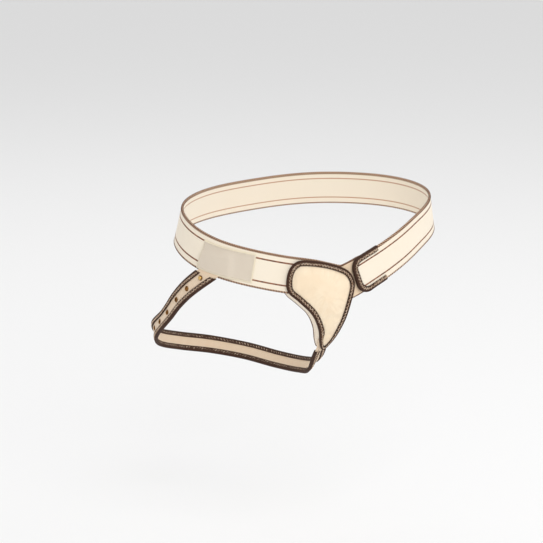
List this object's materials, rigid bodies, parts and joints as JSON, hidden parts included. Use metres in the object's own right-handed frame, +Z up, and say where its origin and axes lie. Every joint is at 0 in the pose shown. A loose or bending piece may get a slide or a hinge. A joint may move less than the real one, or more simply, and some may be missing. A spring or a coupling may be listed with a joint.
{
  "type": "hernia belt",
  "caption": "Elastic hip belt with a hook tab in front, a bound groin pad and a strap between the legs.",
  "frame": {"origin": "on the hips' vertical middle line, 10 mm above the belt's lowest middle point in front", "axes": "+X to the wearer's left, -Y to the front, +Z up"},
  "size_m": [0.3442, 0.2422, 0.2065],
  "materials": {
    "elastic": "cream woven elastic with brown edge and inner stripes",
    "loop_cloth": "peach brushed loop cloth",
    "hook_tape": "cream hook tape",
    "cover_cloth": "smooth peach-cream cotton",
    "cushion_cloth": "soft cream cotton over foam",
    "strap_elastic": "ribbed cream elastic",
    "binding": "dark brown overlocked tape",
    "label": "plain greige woven label",
    "brass": "polished brass"
  },
  "bodies": {
    "root": {"waist_belt": "elastic", "tab_binding": "binding", "fastening_panel": "loop_cloth", "hook_patch": "hook_tape", "pad_cover": "cover_cloth", "pad_binding": "binding", "pad_cushion": "cushion_cloth", "perineal_strap": "strap_elastic", "strap_binding_upper": "binding", "strap_binding_lower": "binding", "strap_stud": "brass", "label_patch": "label", "eyelet_1": "brass", "eyelet_2": "brass", "eyelet_3": "brass", "eyelet_4": "brass", "eyelet_5": "brass", "eyelet_6": "brass"}
  },
  "joints": []
}
